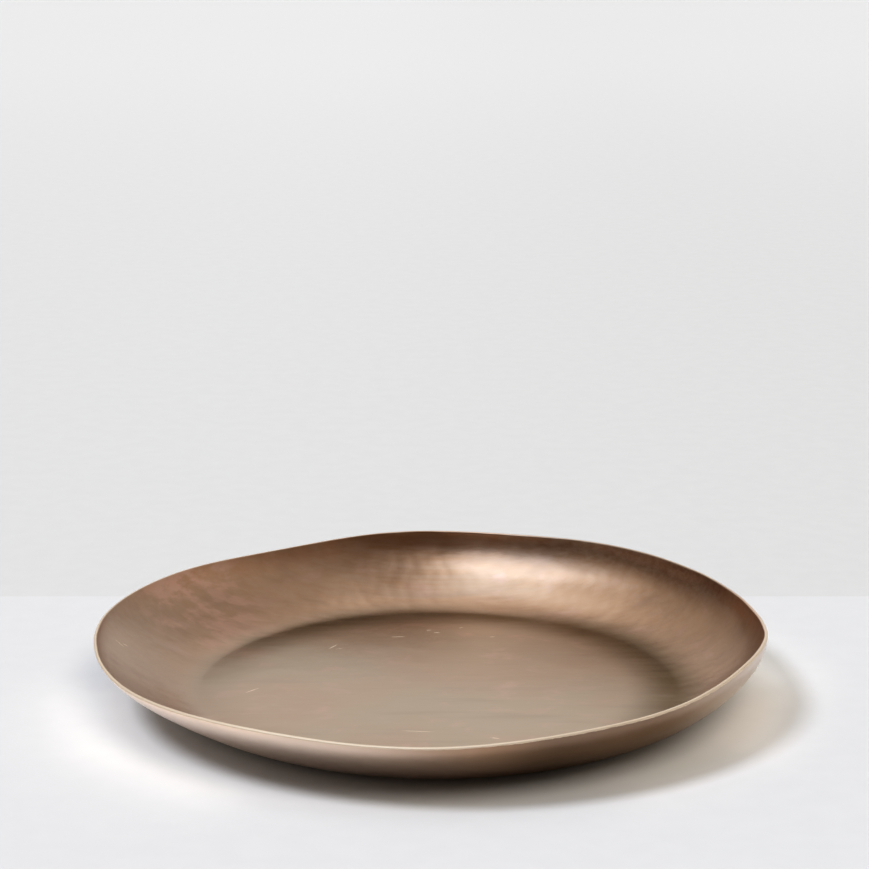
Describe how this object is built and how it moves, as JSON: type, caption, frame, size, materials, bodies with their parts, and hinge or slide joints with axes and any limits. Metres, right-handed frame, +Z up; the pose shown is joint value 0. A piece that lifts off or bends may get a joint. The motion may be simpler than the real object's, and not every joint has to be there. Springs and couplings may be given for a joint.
{
  "type": "tray",
  "caption": "Round hand-hammered copper tray: flat floor, curved raised wall and a gently wavy filed rim, for serving or display",
  "frame": {"origin": "centre of the flat resting face under the floor, at the height of the table", "axes": "+Z up out of the tray; -Y is the front, the side nearest the viewer; +X to the viewer's right"},
  "size_m": [0.4026, 0.4014, 0.0467],
  "materials": {
    "copper": "patinated copper, fine-brushed and hammered, with a bare filed edge"
  },
  "bodies": {
    "root": {"tray": "copper"}
  },
  "joints": []
}
